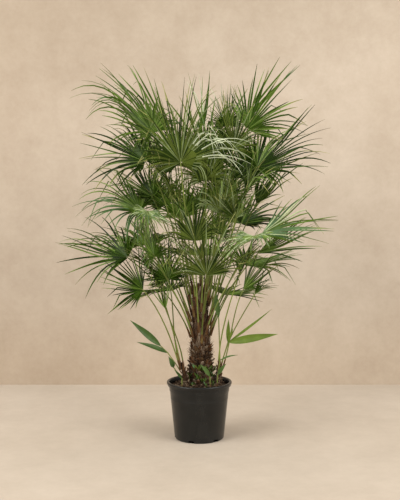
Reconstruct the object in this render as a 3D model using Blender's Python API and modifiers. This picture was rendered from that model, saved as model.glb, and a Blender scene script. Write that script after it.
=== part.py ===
"""Potted european fan palm: pot, soil, trunk with two suckers, fan fronds and broad young leaves.

Metres, +Z up, origin at the middle of the pot's flat underside. The plant's front faces -Y.
"""

import math

import bmesh
import bpy
from mathutils import Vector
from mathutils.bvhtree import BVHTree

PART = "potted_european_fan_palm"
CLEAR = 0.0003
MERGE = 0.0001
UP = Vector((0.0, 0.0, 1.0))

# Pot: a nursery container, 30 cm over its rim
POT_HEIGHT = 0.265
POT_SIDES = 36
POT_FLOOR = 0.014
FOOT_RADIUS = 0.113
INNER_FOOT_RADIUS = 0.1095
NECK_HEIGHT = 0.243
NECK_RADIUS = 0.138
INNER_NECK_RADIUS = 0.135
RIM_RADIUS = 0.150
RIM_UNDERSIDE = 0.246
RIM_INNER_RADIUS = 0.138
RIM_ROUND = 0.003
NOTCHES = 6
NOTCH_WIDTH = 0.026
NOTCH_HEIGHT = 0.012
NOTCH_DEPTH = 0.009
FIRST_NOTCH = math.radians(-79)

# Soil: filled to a little under the rim, with a low flat mound where the stems stand
SOIL_EDGE = 0.236
SOIL_TOP = 0.246
MOUND_RADIUS = 0.112

# Stems: foot (x, y), top (x, y, z), radii from the flared foot to the top
STEMS = {
    "trunk": ((0.008, 0.000), (-0.002, 0.004, 0.715), (0.058, 0.047, 0.044, 0.042, 0.040, 0.037, 0.033, 0.016)),
    "sucker_left": ((-0.062, -0.045), (-0.080, -0.050, 0.360), (0.014, 0.012, 0.010, 0.006)),
    "sucker_right": ((0.088, -0.020), (0.093, -0.025, 0.360), (0.014, 0.012, 0.010, 0.006)),
}
FOOT_SHARE = 0.28
TOP_SHARE = 0.94
SUCKER_SHARE = 0.72

# Petioles, with a diamond section that turns one edge to the stem
PETIOLE_FOOT = 0.0075
PETIOLE_MIDDLE = 0.0052
PETIOLE_HUB = 0.0042
PETIOLE_RINGS = 7
PETIOLE_STEEP = math.radians(72)
PETIOLE_RIB = 0.03
CROWN_LOW = 0.58
CROWN_HIGH = 1.46
FOOT_TURNS = (0, 14, -14, 28, -28, 42, -42, 56, -56, 70, -70)
FOOT_SHIFTS = (0.0, 0.015, -0.015, 0.03, -0.03, 0.05, -0.05)
SEATINGS = 3
SEAT_PLAY = 0.0002

# Blades: a fan is one thin sheet, cut between its leaflets to a third of its reach
LEAF_THICK = 0.004
FUSED = 1 / 3
CUP = math.radians(10)
LEAFLET_STEP = math.radians(13)
LEAFLET_PARTS = 12
DROOP_START = 0.35
STATIONS = (FUSED, 0.6, 0.83, 1.0)
WIDTHS = (0.62, 0.36)
SIDE_SHORTER = 0.09
SPARE = 0.0012
LEAFLET_LIFTS = (0.0, 0.3, -0.3, 0.6, -0.6, 1.0)
LEAFLET_CUTS = (1.0, 0.85, 0.7, 0.5)

# Fronds: name, stem, hub (x, y, z), heading, rise and roll of the blade in degrees, its reach,
# the span of its leaflets to either side of the middle in degrees, and how much they droop
FRONDS = (
    ("top_left", "trunk", (-0.21, -0.03, 1.40), 180, 43, 32, 0.41, (-45, 76), 0.85),
    ("top_left_back", "trunk", (-0.15, 0.12, 1.42), 165, 55, 70, 0.32, (-22, 20), 0.1),
    ("upper_left", "trunk", (-0.24, -0.08, 1.27), 180, 14, 42, 0.31, (-110, 80), 0.5),
    ("middle_left", "trunk", (-0.27, 0.00, 1.05), 180, 24, 30, 0.32, (-60, 110), 1.2),
    ("lower_left", "trunk", (-0.32, -0.08, 0.84), 182, 8, 40, 0.32, (-105, 48), 0.45),
    ("lowest_left", "sucker_left", (-0.25, -0.12, 0.70), 188, 15, 60, 0.21, (-70, 62), 0.05),
    ("inner_left", "trunk", (-0.20, -0.12, 0.85), 185, 60, 30, 0.23, (-44, 36), 0.1),
    ("inner_lower_left", "sucker_left", (-0.14, -0.05, 0.74), 165, 55, 50, 0.23, (-34, 34), 0.05),
    ("front_top", "trunk", (-0.08, -0.22, 1.26), 262, 80, 0, 0.36, (-50, 85), 0.45),
    ("front_upper", "trunk", (0.03, -0.18, 1.19), 275, 80, 0, 0.25, (-60, 60), 0.2),
    ("crest", "trunk", (0.02, 0.12, 1.43), 90, 85, 0, 0.26, (-13, 21), 0.05),
    ("crest_back", "trunk", (0.13, 0.20, 1.45), 90, 80, 0, 0.20, (-35, 35), 0.1),
    ("front_right_top", "trunk", (0.15, -0.10, 1.33), 290, 80, 0, 0.25, (-32, 28), 0.2),
    ("top_right", "trunk", (0.22, 0.05, 1.42), 20, 50, -60, 0.32, (-46, 32), 0.25),
    ("top_right_back", "trunk", (0.20, 0.14, 1.44), 20, 57, -70, 0.395, (-13, 6), 0.05),
    ("upper_right", "trunk", (0.26, -0.02, 1.245), 5, 27, -45, 0.36, (-56, 62), 0.5),
    ("middle_right", "trunk", (0.26, 0.02, 1.08), 5, 50, -30, 0.29, (-44, 28), 0.3),
    ("inner_right", "trunk", (0.16, -0.15, 1.02), 300, 65, -10, 0.18, (-78, 78), 0.1),
    ("inner_middle", "trunk", (0.09, 0.08, 0.94), 60, 75, 0, 0.18, (-80, 80), 0.1),
    ("right", "trunk", (0.28, -0.05, 0.945), -5, 12, -35, 0.35, (-32, 36), 0.3),
    ("lower_right", "trunk", (0.265, -0.02, 0.855), -5, 16, -35, 0.29, (-35, 32), 0.25),
    ("lowest_right", "sucker_right", (0.20, -0.02, 0.69), 0, 38, -40, 0.22, (-30, 46), 0.05),
    ("front_low", "trunk", (0.03, -0.28, 0.78), 270, 54, 0, 0.28, (-62, 66), 0.25),
    ("front_right_low", "trunk", (0.24, -0.13, 0.94), 232, -25, 0, 0.24, (-30, 35), 0.3),
    ("front_left_middle", "trunk", (-0.23, -0.12, 1.05), 300, -40, 0, 0.17, (-50, 40), 0.3),
    ("folded_left", "sucker_left", (-0.15, -0.10, 0.61), 160, 60, 60, 0.14, (-40, 14), 0.0),
    ("twisted_right", "sucker_right", (0.25, -0.05, 0.67), 25, 40, 0, 0.12, (-50, 40), 0.6),
    ("inner_left_high", "trunk", (-0.22, 0.15, 1.11), 150, 45, 30, 0.25, (-60, 60), 0.1),
    ("inner_left_middle", "trunk", (-0.08, 0.12, 1.01), 110, 72, 20, 0.26, (-60, 60), 0.1),
    ("inner_right_high", "trunk", (0.11, 0.15, 1.11), 60, 65, -20, 0.28, (-60, 60), 0.1),
    ("back_left_middle", "trunk", (-0.17, 0.26, 1.07), 130, 50, 20, 0.25, (-60, 60), 0.1),
    ("back_right_high", "trunk", (0.21, 0.20, 1.20), 40, 55, -20, 0.28, (-60, 60), 0.1),
    ("back_top", "trunk", (0.03, 0.30, 1.30), 90, 55, 0, 0.34, (-80, 80), 0.4),
    ("back_top_left", "trunk", (-0.18, 0.28, 1.26), 125, 45, 0, 0.33, (-80, 80), 0.4),
    ("back_middle", "trunk", (0.02, 0.33, 1.05), 90, 25, 0, 0.33, (-86, 86), 0.5),
    ("back_right_middle", "trunk", (0.20, 0.24, 0.98), 58, 20, -10, 0.31, (-86, 86), 0.45),
    ("back_left_low", "trunk", (-0.24, 0.20, 0.88), 135, 10, 10, 0.30, (-80, 80), 0.4),
    ("back_low", "trunk", (0.00, 0.30, 0.82), 90, 5, 0, 0.30, (-80, 80), 0.4),
    ("back_right_low", "trunk", (0.23, 0.20, 0.78), 40, 5, -10, 0.28, (-86, 86), 0.4),
    ("back_lowest_left", "trunk", (-0.13, 0.20, 0.66), 120, -5, 10, 0.24, (-80, 80), 0.2),
    ("back_lowest_right", "trunk", (0.12, 0.20, 0.64), 60, 0, -10, 0.24, (-80, 80), 0.2),
    ("inner_top_left", "trunk", (-0.10, 0.04, 1.27), 140, 70, 10, 0.28, (-46, 46), 0.2),
    ("inner_top_right", "trunk", (0.06, 0.02, 1.25), 30, 72, -10, 0.28, (-46, 46), 0.2),
    ("inner_left_upper", "trunk", (-0.12, -0.06, 1.12), 205, 52, 15, 0.26, (-46, 46), 0.3),
    ("inner_right_upper", "trunk", (0.19, -0.08, 1.08), -15, 58, -15, 0.26, (-46, 46), 0.3),
    ("inner_front_middle", "trunk", (-0.02, -0.16, 0.92), 272, 78, 0, 0.27, (-27, 27), 0.4),
    ("inner_front_high", "trunk", (0.09, -0.14, 1.04), 285, 70, 0, 0.24, (-27, 27), 0.4),
    ("inner_left_low", "sucker_left", (-0.20, -0.03, 0.74), 200, 48, 15, 0.22, (-46, 46), 0.3),
    ("inner_right_low", "sucker_right", (0.18, -0.10, 0.77), -5, 58, -10, 0.23, (-46, 46), 0.3),
)

# Young plants with broad leaves: the stem they grow on (None is the soil), foot and joint of
# the stalk, then each leaf's foot, tip, width, the rise of its middle above the straight line,
# and how far its upper face is turned to the front in degrees
STALK_RADIUS = 0.003
BROAD_STATIONS = (0.0, 0.18, 0.4, 0.65, 0.85)
YOUNG = {
    "young_left": (
        "sucker_left", (-0.078, -0.050, 0.310), (-0.143, -0.050, 0.404),
        (
            ((-0.174, -0.060, 0.437), (-0.311, -0.090, 0.560), 0.030, 0.004, 70),
            ((-0.143, -0.050, 0.404), (-0.280, -0.110, 0.464), 0.024, 0.006, 50),
        ),
    ),
    "young_foot_left": (
        None, (-0.078, -0.068, 0.0), (-0.079, -0.068, 0.290),
        (
            ((-0.116, -0.070, 0.341), (-0.139, -0.090, 0.396), 0.022, 0.008, 60),
            ((-0.079, -0.068, 0.290), (-0.112, -0.098, 0.336), 0.013, 0.003, 60),
        ),
    ),
    "young_right": (
        "sucker_right", (0.092, -0.025, 0.340), (0.130, -0.050, 0.452),
        (
            ((0.130, -0.050, 0.452), (0.354, -0.090, 0.497), 0.036, 0.006, 75),
            ((0.130, -0.050, 0.452), (0.330, -0.020, 0.600), 0.012, -0.012, 60),
            ((0.130, -0.050, 0.452), (0.132, -0.060, 0.560), 0.018, 0.000, 85),
            ((0.130, -0.050, 0.452), (0.152, -0.075, 0.521), 0.013, 0.000, 80),
        ),
    ),
    "young_foot_right": (
        None, (0.080, -0.064, 0.0), (0.084, -0.064, 0.308),
        (
            ((0.094, -0.064, 0.372), (0.174, -0.090, 0.402), 0.010, 0.008, 40),
            ((0.084, -0.064, 0.308), (0.121, -0.090, 0.363), 0.019, 0.004, 60),
        ),
    ),
    "young_foot_middle": (
        None, (0.050, -0.078, 0.0), (0.048, -0.078, 0.303),
        (
            ((0.048, -0.078, 0.303), (0.005, -0.104, 0.362), 0.019, 0.004, 60),
        ),
    ),
    "young_spear": (
        "sucker_right", (0.086, -0.030, 0.345), (0.090, -0.040, 0.500),
        (
            ((0.088, -0.040, 0.565), (0.071, -0.040, 0.690), 0.024, 0.002, 85),
        ),
    ),
}


def collection(name):
    made = bpy.data.collections.new(name)
    bpy.context.scene.collection.children.link(made)
    return made


def material(name, colour, roughness):
    made = bpy.data.materials.new(name)
    made.use_nodes = True
    shader = made.node_tree.nodes["Principled BSDF"]
    shader.inputs["Base Color"].default_value = (*colour, 1.0)
    shader.inputs["Roughness"].default_value = roughness
    shader.inputs["Metallic"].default_value = 0.0
    return made


def mesh_object(name, vertices, edges, faces, home):
    mesh = bpy.data.meshes.new(name)
    mesh.from_pydata(vertices, edges, faces)
    made = bpy.data.objects.new(name, mesh)
    home.objects.link(made)
    return made


def applied(source, home):
    """A new object with the evaluated mesh of another, which is then removed."""
    bpy.context.view_layer.update()
    graph = bpy.context.evaluated_depsgraph_get()
    mesh = bpy.data.meshes.new_from_object(source.evaluated_get(graph))
    work = bmesh.new()
    work.from_mesh(mesh)
    bmesh.ops.remove_doubles(work, verts=work.verts, dist=MERGE / 10)
    work.to_mesh(mesh)
    work.free()
    name = source.name
    bpy.data.objects.remove(source)
    made = bpy.data.objects.new(name, mesh)
    home.objects.link(made)
    return made


def joined(base, others, home):
    """One Boolean union of an object with a collection, whose objects are then removed."""
    union = base.modifiers.new("union", "BOOLEAN")
    union.operation = "UNION"
    union.operand_type = "COLLECTION"
    union.collection = others
    union.solver = "MANIFOLD"
    made = applied(base, home)
    for other in list(others.objects):
        bpy.data.objects.remove(other)
    bpy.data.collections.remove(others)
    return made


def turned(name, profile, sides, home):
    """A profile of (radius, height) points turned about Z; it runs down the outer side."""
    points = [(radius, 0.0, height) for radius, height in profile]
    edges = [(i, i + 1) for i in range(len(points) - 1)]
    made = mesh_object(name, points, edges, [], home)
    screw = made.modifiers.new("turn", "SCREW")
    screw.steps = sides
    screw.render_steps = sides
    screw.use_merge_vertices = True
    screw.merge_threshold = MERGE
    return made


def tube(name, points, radii, resolution, home):
    """A capped tube along a line of points, with a radius at each."""
    line = bpy.data.curves.new(name, "CURVE")
    line.dimensions = "3D"
    line.bevel_depth = 1.0
    line.bevel_resolution = resolution
    line.use_fill_caps = True
    spline = line.splines.new("POLY")
    spline.points.add(len(points) - 1)
    for spot, point, radius in zip(spline.points, points, radii):
        spot.co = (*point, 1.0)
        spot.radius = radius
    made = bpy.data.objects.new(name, line)
    home.objects.link(made)
    return applied(made, home)


def bezier(start, out, back, end, count):
    line = []
    for i in range(count):
        t = i / (count - 1)
        s = 1.0 - t
        line.append(start * s**3 + out * 3 * s * s * t + back * 3 * s * t * t + end * t**3)
    return line


def box_of(points):
    low = Vector([min(point[i] for point in points) for i in range(3)])
    high = Vector([max(point[i] for point in points) for i in range(3)])
    return low, high


class Solid:
    """The faces of one solid, or of a trial shape, for finding what would touch it."""

    def __init__(self, vertices, faces):
        self.tree = BVHTree.FromPolygons(vertices, faces)
        self.low, self.high = box_of(vertices)

    def touches(self, other):
        if any(self.high[i] < other.low[i] or other.high[i] < self.low[i] for i in range(3)):
            return False
        return bool(self.tree.overlap(other.tree))

    def touches_any(self, others):
        return any(self.touches(other) for other in others)


def solid_of(made):
    bpy.context.view_layer.update()
    seen = made.evaluated_get(bpy.context.evaluated_depsgraph_get())
    mesh = seen.to_mesh()
    vertices = [made.matrix_world @ vertex.co for vertex in mesh.vertices]
    faces = [tuple(face.vertices) for face in mesh.polygons]
    seen.to_mesh_clear()
    return Solid(vertices, faces)


def slab(left, right, faces_up, thick):
    """A closed strip of the given thickness between two lines of points."""
    vertices = []
    for a, b, up in zip(left, right, faces_up):
        lift = up * thick / 2
        vertices += [a + lift, b + lift, b - lift, a - lift]
    last = len(vertices) - 4
    faces = [(0, 1, 2, 3), (last + 3, last + 2, last + 1, last)]
    for ring in range(0, last, 4):
        for i in range(4):
            j = (i + 1) % 4
            faces.append((ring + i, ring + j, ring + 4 + j, ring + 4 + i))
    return Solid(vertices, faces)


def sheet(name, vertices, faces, home):
    """A leaf's faces, made solid to either side of them."""
    made = mesh_object(name, vertices, [], faces, home)
    thick = made.modifiers.new("thick", "SOLIDIFY")
    thick.thickness = LEAF_THICK
    thick.offset = 0.0
    return made


def pot(home, cutters, finish):
    profile = (
        (0.0, POT_FLOOR),
        (INNER_FOOT_RADIUS, POT_FLOOR),
        (INNER_NECK_RADIUS, NECK_HEIGHT),
        (RIM_INNER_RADIUS, POT_HEIGHT - RIM_ROUND),
        (RIM_INNER_RADIUS + RIM_ROUND, POT_HEIGHT),
        (RIM_RADIUS - RIM_ROUND, POT_HEIGHT),
        (RIM_RADIUS, POT_HEIGHT - RIM_ROUND),
        (RIM_RADIUS, RIM_UNDERSIDE),
        (NECK_RADIUS, RIM_UNDERSIDE),
        (NECK_RADIUS, NECK_HEIGHT),
        (FOOT_RADIUS, NOTCH_HEIGHT),
        (FOOT_RADIUS - RIM_ROUND, RIM_ROUND),
        (FOOT_RADIUS - 2 * RIM_ROUND, 0.0),
        (0.0, 0.0),
    )
    made = turned("pot", profile, POT_SIDES, home)
    for i in range(NOTCHES):
        turn = FIRST_NOTCH + math.tau * i / NOTCHES
        bpy.ops.mesh.primitive_cube_add(
            size=1.0,
            location=(FOOT_RADIUS * math.sin(turn), -FOOT_RADIUS * math.cos(turn), 0.0),
            rotation=(0.0, 0.0, turn),
        )
        notch = bpy.context.object
        notch.name = f"notch_{i + 1}"
        notch.scale = (NOTCH_WIDTH, 2 * NOTCH_DEPTH, 2 * NOTCH_HEIGHT)
        notch.display_type = "WIRE"
        notch.hide_render = True
        for owner in notch.users_collection:
            owner.objects.unlink(notch)
        cutters.objects.link(notch)
    cut = made.modifiers.new("notches", "BOOLEAN")
    cut.operand_type = "COLLECTION"
    cut.collection = cutters
    cut.solver = "EXACT"
    made.data.materials.append(finish)
    return made


def inner_radius(height):
    share = (height - POT_FLOOR) / (NECK_HEIGHT - POT_FLOOR)
    return INNER_FOOT_RADIUS + share * (INNER_NECK_RADIUS - INNER_FOOT_RADIUS) - CLEAR


def soil(home, finish):
    profile = (
        (0.0, SOIL_TOP),
        (MOUND_RADIUS, SOIL_TOP),
        (inner_radius(SOIL_EDGE), SOIL_EDGE),
        (inner_radius(POT_FLOOR + CLEAR), POT_FLOOR + CLEAR),
        (0.0, POT_FLOOR + CLEAR),
    )
    made = turned("soil", profile, POT_SIDES, home)
    made.data.materials.append(finish)
    return made


def stem_point(name, height):
    (x, y), top, _ = STEMS[name]
    share = (height - SOIL_TOP) / (top[2] - SOIL_TOP)
    share = min(max(share, 0.0), 1.0)
    return Vector((x + (top[0] - x) * share**2, y + (top[1] - y) * share**2, height))


def stem(name, home, finish):
    _, top, radii = STEMS[name]
    foot = SOIL_TOP + CLEAR
    heights = [foot + (top[2] - foot) * i / (len(radii) - 1) for i in range(len(radii))]
    points = [stem_point(name, height) for height in heights]
    points[0].xy = points[1].xy
    made = tube(name, points, radii, 4, home)
    made.data.materials.append(finish)
    return made


def blade_frame(heading, rise, roll):
    """Unit vectors along the middle leaflet, across the blade and out of its upper face."""
    h, e, r = math.radians(heading), math.radians(rise), math.radians(roll)
    along = Vector((math.cos(h) * math.cos(e), math.sin(h) * math.cos(e), math.sin(e)))
    level = Vector((-math.cos(h) * math.sin(e), -math.sin(h) * math.sin(e), math.cos(e)))
    across = level.cross(along)
    side = across * math.cos(r) - level * math.sin(r)
    face = level * math.cos(r) + across * math.sin(r)
    return along, side, face


def leaflet_line(number, frond, angle, lift=0.0):
    """Points along a leaflet from the hub to its tip; the angle is from the blade's middle."""
    hub, heading, rise, roll, reach, droop = frond
    along, side, face = blade_frame(heading, rise, roll)
    flat = along * math.cos(angle) + side * math.sin(angle)
    start = flat * math.cos(CUP) + face * math.sin(CUP)
    length = reach * (1 - SIDE_SHORTER * angle**2 + 0.06 * math.sin(6.1 * angle + 1.7 * number))
    sag = droop * (0.6 + 0.57 * abs(angle)) * (1 + 0.7 * math.sin(4.3 * angle + 2.3 * number))
    line = [hub.copy()]
    for i in range(LEAFLET_PARTS):
        share = (i + 0.5) / LEAFLET_PARTS
        bend = sag * max(0.0, (share - DROOP_START) / (1 - DROOP_START)) ** 1.3
        way = start + face * lift * max(0.0, share - FUSED) - UP * bend
        line.append(line[-1] + way.normalized() * length / LEAFLET_PARTS)
    return line


def along_line(line, share):
    place = share * (len(line) - 1)
    i = min(int(place), len(line) - 2)
    return line[i].lerp(line[i + 1], place - i)


def leaflet(number, frond, angle, lift, cut):
    """Left and right points of one leaflet at its stations, and the way its face looks."""
    _, heading, rise, roll, _, _ = frond
    along, side, face = blade_frame(heading, rise, roll)
    across = side * math.cos(angle) - along * math.sin(angle)
    half = LEAFLET_STEP / 2
    left = [along_line(leaflet_line(number, frond, angle - half), FUSED)]
    right = [along_line(leaflet_line(number, frond, angle + half), FUSED)]
    base = (right[0] - left[0]).length
    line = leaflet_line(number, frond, angle, lift)
    for station, width in zip(STATIONS[1:], (*WIDTHS, 0.0)):
        middle = along_line(line, FUSED + (station - FUSED) * cut)
        left.append(middle - across * base * width / 2)
        right.append(middle + across * base * width / 2)
    looks = []
    for i in range(len(left)):
        here = max(i, 1)
        way = left[here] + right[here] - left[here - 1] - right[here - 1]
        looks.append(across.cross(way).normalized())
    return left, right, looks


def rod(line, radii):
    """A closed rod of eight sides along a line, for trying where a petiole has room."""
    sides = 8
    vertices = []
    for i, (point, radius) in enumerate(zip(line, radii)):
        here = max(i, 1)
        way = (line[here] - line[here - 1]).normalized()
        across = way.cross(UP).normalized()
        over = across.cross(way)
        for k in range(sides):
            turn = math.tau * k / sides
            vertices.append(point + (across * math.cos(turn) + over * math.sin(turn)) * radius)
    last = len(vertices) - sides
    faces = [tuple(range(sides)), tuple(range(last, last + sides))]
    for ring in range(0, last, sides):
        for k in range(sides):
            j = (k + 1) % sides
            faces.append((ring + k, ring + j, ring + sides + j, ring + sides + k))
    return Solid(vertices, faces)


def seat(stem_name, stem_tree, height, turn, radius, steep):
    """Where a stalk starts on a stem, so that the edge of its section is just clear of it."""
    out = Vector((math.cos(turn), math.sin(turn), 0.0))
    inward = UP * math.cos(steep) - out * math.sin(steep)
    point = stem_tree.ray_cast(stem_point(stem_name, height) + out, -out)[0] + out * 2 * radius
    for _ in range(3):
        gap = stem_tree.find_nearest(point + inward * radius)[3]
        point -= out * (gap - CLEAR)
    return point, out


def petiole_line(foot, out, frond):
    hub, heading, rise, roll, _, _ = frond
    along, _, face = blade_frame(heading, rise, roll)
    leave = out * math.cos(PETIOLE_STEEP) + UP * math.sin(PETIOLE_STEEP)
    chord = hub - foot
    arrive = (chord.normalized() + along * 0.5).normalized()
    span = chord.length
    line = bezier(foot, foot + leave * span * 0.35, hub - arrive * span * 0.3, hub, PETIOLE_RINGS)
    line.append(hub + (along * math.cos(CUP) + face * math.sin(CUP)) * PETIOLE_RIB)
    return line


def seated(name, line, out, radii, stem_tree, home):
    """A petiole as a tube, its foot drawn in until it is just clear of the stem."""
    for _ in range(SEATINGS):
        stalk = tube(name, line, radii, 0, home)
        gap = min(stem_tree.find_nearest(vertex.co)[3] for vertex in stalk.data.vertices) - CLEAR
        if gap < SEAT_PLAY:
            return stalk
        bpy.data.objects.remove(stalk)
        line[0] = line[0] - out * gap
    return tube(name, line, radii, 0, home)


def petiole_radii():
    radii = []
    for i in range(PETIOLE_RINGS):
        share = i / (PETIOLE_RINGS - 1)
        flare = (PETIOLE_FOOT - PETIOLE_MIDDLE) * (1 - share) ** 4
        radii.append(PETIOLE_MIDDLE + flare - (PETIOLE_MIDDLE - PETIOLE_HUB) * share)
    radii.append(PETIOLE_HUB * 0.6)
    return radii


def foot_height(stem_name, hub):
    """Lower fronds leave the trunk lower down; a sucker's leave it near its top."""
    top = STEMS[stem_name][1][2]
    share = (hub.z - CROWN_LOW) / (CROWN_HIGH - CROWN_LOW)
    share = FOOT_SHARE + (TOP_SHARE - FOOT_SHARE) * min(max(share, 0.0), 1.0)
    if stem_name != "trunk":
        share = SUCKER_SHARE
    return SOIL_TOP + (top - SOIL_TOP) * share


def room_for_petiole(stem_name, frond, stems, others):
    """The first foot, turned or shifted on the stem, from which a petiole touches nothing."""
    hub = frond[0]
    radii = petiole_radii()
    spare = [radius + SPARE for radius in radii]
    height = foot_height(stem_name, hub)
    axis = stem_point(stem_name, height)
    heading = math.atan2(hub.y - axis.y, hub.x - axis.x)
    for shift in FOOT_SHIFTS:
        for turn in FOOT_TURNS:
            foot, out = seat(
                stem_name, stems[stem_name].tree, height + shift,
                heading + math.radians(turn), radii[0], PETIOLE_STEEP,
            )
            line = petiole_line(foot, out, frond)
            if rod(line, spare).touches_any(others):
                continue
            if rod(line[1:], spare[1:]).touches_any(stems.values()):
                continue
            return line, out
    return None


def blade_angles(span):
    low, high = math.radians(span[0]), math.radians(span[1])
    count = max(2, round((high - low) / LEAFLET_STEP))
    first = (low + high - (count - 1) * LEAFLET_STEP) / 2
    return [first + i * LEAFLET_STEP for i in range(count)]


def free_sectors(number, frond, angles, others):
    """The unbroken run of leaflets about the middle whose fused foot touches nothing."""
    middle = min(range(len(angles)), key=lambda i: abs(angles[i]))
    kept = []
    for run in (range(middle, -1, -1), range(middle + 1, len(angles))):
        for i in run:
            left, right, looks = leaflet(number, frond, angles[i], 0.0, 1.0)
            hub = frond[0]
            foot = slab([hub, left[0]], [hub, right[0]], looks, LEAF_THICK + 2 * SPARE)
            if foot.touches_any(others):
                break
            kept.append(angles[i])
    return sorted(kept)


def room_for_leaflet(number, frond, angle, others, own):
    """Points of the first trial leaflet, lifted or cut short, that touches nothing."""
    for cut in LEAFLET_CUTS:
        for lift in LEAFLET_LIFTS:
            left, right, looks = leaflet(number, frond, angle, lift, cut)
            whole = slab(left, right, looks, LEAF_THICK + 2 * SPARE)
            if whole.touches_any(others):
                continue
            outer = slab(left[1:], right[1:], looks[1:], LEAF_THICK + 2 * SPARE)
            if outer.touches_any(own):
                continue
            return left, right, outer
    return None


def fan(number, name, frond, span, others, home):
    """The blade as a sheet: a fused middle and free leaflets, solid by its modifier."""
    angles = blade_angles(span)
    kept = free_sectors(number, frond, angles, others)
    if not kept:
        return None
    vertices = [frond[0], leaflet(number, frond, kept[0], 0.0, 1.0)[0][0]]
    faces = []
    own = []
    last = 1
    for angle in kept:
        vertices.append(leaflet(number, frond, angle, 0.0, 1.0)[1][0])
        next_one = len(vertices) - 1
        faces.append((0, last, next_one))
        free = room_for_leaflet(number, frond, angle, others, own)
        if free:
            left, right, outer = free
            own.append(outer)
            a, b = last, next_one
            for i in range(1, len(left) - 1):
                vertices += [left[i], right[i]]
                c, d = len(vertices) - 2, len(vertices) - 1
                faces.append((a, c, d, b))
                a, b = c, d
            vertices.append(left[-1])
            faces.append((a, len(vertices) - 1, b))
        last = next_one
    return sheet(name, vertices, faces, home)


def broad_leaf(name, foot, tip, width, arch, tilt, home):
    """A lance-shaped leaf as a sheet, arched between its foot and its tip."""
    foot, tip = Vector(foot), Vector(tip)
    tilt = math.radians(tilt)
    side = (tip - foot).cross(Vector((0.0, -math.sin(tilt), math.cos(tilt)))).normalized()
    rise = side.cross(tip - foot).normalized() * arch
    vertices = []
    faces = []
    for share in BROAD_STATIONS:
        middle = foot.lerp(tip, share) + rise * 4 * share * (1 - share)
        half = max(width / 2 * math.sin(math.pi * share**0.75), STALK_RADIUS / 2)
        vertices += [middle - side * half, middle + side * half]
    for i in range(0, len(vertices) - 2, 2):
        faces.append((i, i + 2, i + 3, i + 1))
    vertices.append(tip)
    faces.append((len(vertices) - 3, len(vertices) - 1, len(vertices) - 2))
    return sheet(name, vertices, faces, home)


def young(name, stems, home, finish):
    """A young stalk with its broad leaves, on a sucker or in the soil."""
    stem_name, foot, joint, leaves = YOUNG[name]
    start, joint = Vector(foot), Vector(joint)
    leave = UP
    if stem_name:
        tree = stems[stem_name].tree
        turn = math.atan2(joint.y - foot[1], joint.x - foot[0])
        start, out = seat(stem_name, tree, foot[2], turn, STALK_RADIUS, PETIOLE_STEEP)
        leave = out * math.cos(PETIOLE_STEEP) + UP * math.sin(PETIOLE_STEEP)
    else:
        start.z = SOIL_TOP + CLEAR
    line = [start, start + leave * 0.02, joint]
    end = Vector(leaves[0][0])
    if end != joint:
        line.append(end)
    made = tube(name, line, [STALK_RADIUS] * len(line), 0, home)
    blades = collection(name + "_leaves")
    for i, leaf in enumerate(leaves):
        broad_leaf(f"{name}_leaf_{i + 1}", *leaf, blades)
    made = joined(made, blades, home)
    made.data.materials.append(finish)
    return made


def main():
    for thing in list(bpy.data.objects):
        bpy.data.objects.remove(thing)
    home = collection(PART)
    cutters = collection("cutters")
    black = material("black_pot", (0.035, 0.033, 0.030), 0.55)
    bark = material("bark_soil", (0.060, 0.040, 0.025), 0.95)
    fibre = material("fibrous_stem", (0.075, 0.045, 0.025), 0.9)
    green = material("frond_green", (0.060, 0.110, 0.030), 0.55)
    bright = material("young_green", (0.120, 0.220, 0.040), 0.5)

    vessel = pot(home, cutters, black)
    ground = soil(home, bark)
    stems = {name: solid_of(stem(name, home, fibre)) for name in STEMS}
    fixed = [solid_of(vessel), solid_of(ground)]
    for name in YOUNG:
        fixed.append(solid_of(young(name, stems, home, bright)))

    petioles = {}
    fronds = {}
    radii = petiole_radii()
    for name, stem_name, hub, heading, rise, roll, reach, span, droop in FRONDS:
        frond = (Vector(hub), heading, rise, roll, reach, droop)
        others = fixed + [solid for _, _, solid in petioles.values()]
        found = room_for_petiole(stem_name, frond, stems, others)
        if found is None:
            print("no room for petiole", name)
            continue
        petioles[name] = (*found, rod(found[0], radii))
        fronds[name] = (stem_name, frond, span)

    done = []
    for number, name in enumerate(fronds):
        stem_name, frond, span = fronds[name]
        line, out, _ = petioles.pop(name)
        others = fixed + list(stems.values()) + done + [solid for _, _, solid in petioles.values()]
        stalk = seated("frond_" + name, line, out, radii, stems[stem_name].tree, home)
        blades = collection("blade_" + name)
        if fan(number, "blade_" + name, frond, span, others, blades) is None:
            print("no room for blade", name)
        made = joined(stalk, blades, home)
        made.data.materials.append(green)
        done.append(solid_of(made))


main()
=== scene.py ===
"""Potted european fan palm: the dressed model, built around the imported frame.

Metres, +Z up, origin in the middle of the pot's flat underside. The plant's front faces -Y.
"""

import math
import random

import bpy
from mathutils import Matrix, Vector, noise


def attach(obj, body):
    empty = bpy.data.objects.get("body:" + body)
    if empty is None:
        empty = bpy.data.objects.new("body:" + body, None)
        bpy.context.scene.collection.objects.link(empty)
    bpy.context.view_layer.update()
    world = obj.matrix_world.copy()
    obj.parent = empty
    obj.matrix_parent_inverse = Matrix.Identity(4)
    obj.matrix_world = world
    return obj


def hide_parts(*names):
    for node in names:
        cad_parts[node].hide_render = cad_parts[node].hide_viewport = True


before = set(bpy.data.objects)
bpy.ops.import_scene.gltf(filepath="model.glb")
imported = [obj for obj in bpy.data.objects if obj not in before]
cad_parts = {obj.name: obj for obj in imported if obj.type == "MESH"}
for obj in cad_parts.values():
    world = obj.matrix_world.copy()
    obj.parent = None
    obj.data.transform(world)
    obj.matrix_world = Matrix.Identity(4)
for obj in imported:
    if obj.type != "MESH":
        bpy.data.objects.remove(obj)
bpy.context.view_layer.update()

UP = Vector((0.0, 0.0, 1.0))
CLEAR = 0.0003

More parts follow.
